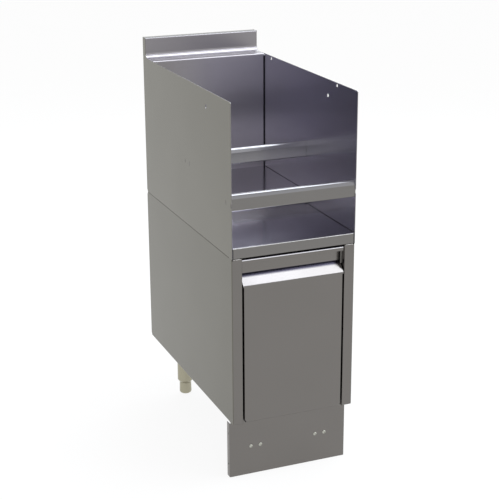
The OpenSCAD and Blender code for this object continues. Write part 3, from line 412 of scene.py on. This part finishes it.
# %% [markdown]
# ## Floor and backdrop
# The unit stands on a pale seamless sweep. A plain white plane that is far larger than the
# unit does the same work: its edge lies beyond the top of the picture. It is a diffuse
# surface, so that it keeps the soft shadow under the cabinet, and a glow that only the eye
# and reflections see lifts it to the white of the picture without lighting the unit.

# %% Floor
FLOOR_GLOW = 0.9
WHITE = (1.0, 1.0, 1.0, 1.0)


def seen_rays(tree):
    rays = add(tree, "ShaderNodeLightPath").outputs
    seen = rays["Is Camera Ray"]
    for kind in ("Is Glossy Ray", "Is Transmission Ray"):
        seen = add(tree, "ShaderNodeMath", {0: seen, 1: rays[kind]}, operation="MAXIMUM").outputs[0]
    return seen


FLOOR_HALF = 40.0
FIBRE_CLOUD = 0.5
corners = [(x * FLOOR_HALF, y * FLOOR_HALF, 0) for x, y in ((-1, -1), (1, -1), (1, 1), (-1, 1))]
floor_mesh = bpy.data.meshes.new("studio_floor")
floor_mesh.from_pydata(corners, [], [(0, 1, 2, 3)])
floor = bpy.data.objects.new("studio_floor", floor_mesh)
bpy.context.scene.collection.objects.link(floor)
floor_paper, tree, shader = new_material("white_backdrop_paper")
fibres = between(tree, clouds(tree, FIBRE_CLOUD), 0.0, 1.0)
paper = blend_colours(tree, fibres, linear("#fbfbfb"), linear("#fdfdfd"))
tree.links.new(paper, shader.inputs["Base Color"])
shader.inputs["Roughness"].default_value = 0.9
shader.inputs["Specular IOR Level"].default_value = 0.1
to_eye = seen_rays(tree)
lit = add(tree, "ShaderNodeEmission", {"Color": WHITE, "Strength": 1.0})
share = add(tree, "ShaderNodeMath", {0: to_eye, 1: FLOOR_GLOW}, operation="MULTIPLY").outputs[0]
mixed = add(tree, "ShaderNodeMixShader", {0: share, 1: shader.outputs[0], 2: lit.outputs[0]})
paper_out = next(node for node in tree.nodes if node.type == "OUTPUT_MATERIAL")
tree.links.new(mixed.outputs[0], paper_out.inputs["Surface"])
floor_mesh.materials.append(floor_paper)
print("floor half width", FLOOR_HALF, "m")

# %% [markdown]
# ## World and lamps
# Bare metal shows nothing but what stands round it, so the studio is the finish here. The
# world is plain white to the camera and to reflections, and a softer grey as a light, which
# leaves the shadow on the floor. Three large soft boxes are what the bends reflect. The one
# overhead shows in the slope of the pull, the one high behind along the ridges of the rails
# and in the cove of the splash, and a weak one low in front fills the upright faces. They
# are slightly blue, as daylight tubes are.

# %% World
FILL = 0.79
world = bpy.data.worlds.new("studio_world")
bpy.context.scene.world = world
world.use_nodes = True
sky = world.node_tree
sky.nodes.clear()
level = add(sky, "ShaderNodeMapRange", {"Value": seen_rays(sky), "To Min": FILL, "To Max": 1.0})
glow = {"Color": WHITE, "Strength": level.outputs["Result"]}
white = add(sky, "ShaderNodeBackground", glow)
add(sky, "ShaderNodeOutputWorld", {"Surface": white.outputs[0]})
print("fill light", FILL)

# %% Soft boxes
TARGET = Vector((0.0, 0.0, 0.55))
LAMP_TINT = (0.88, 0.93, 1.0)


def soft_box(name, direction, distance, width, height, radiance):
    lamp = bpy.data.lights.new(name, "AREA")
    lamp.shape = "RECTANGLE"
    lamp.size, lamp.size_y = width, height
    lamp.energy = radiance * math.pi * width * height
    lamp.color = LAMP_TINT
    holder = bpy.data.objects.new(name, lamp)
    towards = Vector(direction).normalized()
    holder.location = TARGET + towards * distance
    holder.rotation_euler = towards.to_track_quat("Z", "Y").to_euler()
    bpy.context.scene.collection.objects.link(holder)
    print(name, round(lamp.energy, 1), "W")


soft_box("soft_box_overhead", (0.36, -0.20, 0.91), 3.0, 1.8, 2.3, 6.2)
soft_box("soft_box_low_front", (0.36, -0.82, 0.44), 3.4, 2.4, 1.0, 0.42)
soft_box("soft_box_high_back", (0.36, 0.66, 0.66), 3.0, 2.2, 1.6, 4.6)

# %% [markdown]
# ## Camera
# The camera was fitted to the edges in the photograph: it stands to the left of the unit
# and above it, and looks down along a long lens. Its turn, tilt and roll are given as
# angles, from which the three axes of the camera follow. The picture is a pixel taller than
# it is wide, so the lens is worked out for its height.

# %% Camera
FOCAL_PIXELS = 1288.364
PICTURE_HEIGHT = 500
SENSOR = 36.0
EYE = (-1.13632, -2.82556, 1.48874)
TURN, TILT, ROLL = math.radians(-22.1791), math.radians(18.5379), math.radians(-0.274)
backwards = Vector((math.sin(TURN) * math.cos(TILT), -math.cos(TURN) * math.cos(TILT), math.sin(TILT)))
rightwards = Vector((0, 0, 1)).cross(backwards).normalized()
upwards = backwards.cross(rightwards)
rolled_right = rightwards * math.cos(ROLL) + upwards * math.sin(ROLL)
rolled_up = upwards * math.cos(ROLL) - rightwards * math.sin(ROLL)
lens = bpy.data.cameras.new("catalogue_camera")
lens.sensor_width = SENSOR
lens.lens = FOCAL_PIXELS * SENSOR / PICTURE_HEIGHT
lens.shift_x, lens.shift_y = -0.001, 0.001
lens.clip_end = 200.0
camera = bpy.data.objects.new("catalogue_camera", lens)
axes = Matrix((rolled_right, rolled_up, backwards)).transposed().to_4x4()
camera.matrix_world = Matrix.Translation(EYE) @ axes
bpy.context.scene.collection.objects.link(camera)
bpy.context.scene.camera = camera
bpy.context.scene.view_settings.view_transform = "Standard"
print("lens", round(lens.lens, 2), "mm")
